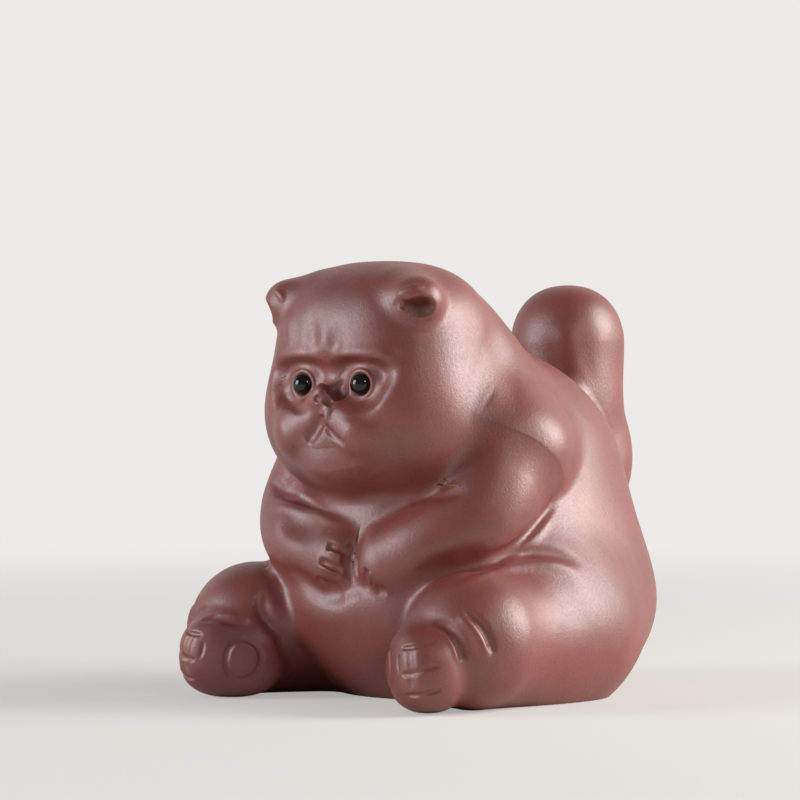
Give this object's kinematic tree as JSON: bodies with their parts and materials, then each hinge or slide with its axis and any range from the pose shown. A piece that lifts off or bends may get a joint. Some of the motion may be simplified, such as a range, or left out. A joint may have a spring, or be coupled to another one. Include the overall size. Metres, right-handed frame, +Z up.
{
  "type": "cat tea pet",
  "caption": "Seated fat flat-faced cat figure in unglazed purple clay, hands folded on its belly, soles forward, club tail raised, hollow with a vented flat base.",
  "frame": {"origin": "on the ground under the figure, midway across its width and its depth", "axes": "+Z up; the face looks along -Y; +X is the cat's left"},
  "size_m": [0.0868, 0.1072, 0.091],
  "materials": {
    "clay": "unglazed purple clay, burnished to a satin",
    "eye_glass": "glossy black glass bead"
  },
  "bodies": {
    "root": {"belly_shell": "clay", "back_shell": "clay", "base_slab": "clay", "head_shell": "clay", "nose": "clay", "chin": "clay", "left_whisker_pad": "clay", "right_whisker_pad": "clay", "left_eyelid": "clay", "right_eyelid": "clay", "left_ear": "clay", "right_ear": "clay", "left_thigh": "clay", "right_thigh": "clay", "left_foot": "clay", "right_foot": "clay", "left_sole_pad": "clay", "right_sole_pad": "clay", "left_arm": "clay", "right_arm": "clay", "tail": "clay", "left_eye": "eye_glass", "right_eye": "eye_glass"}
  },
  "joints": []
}
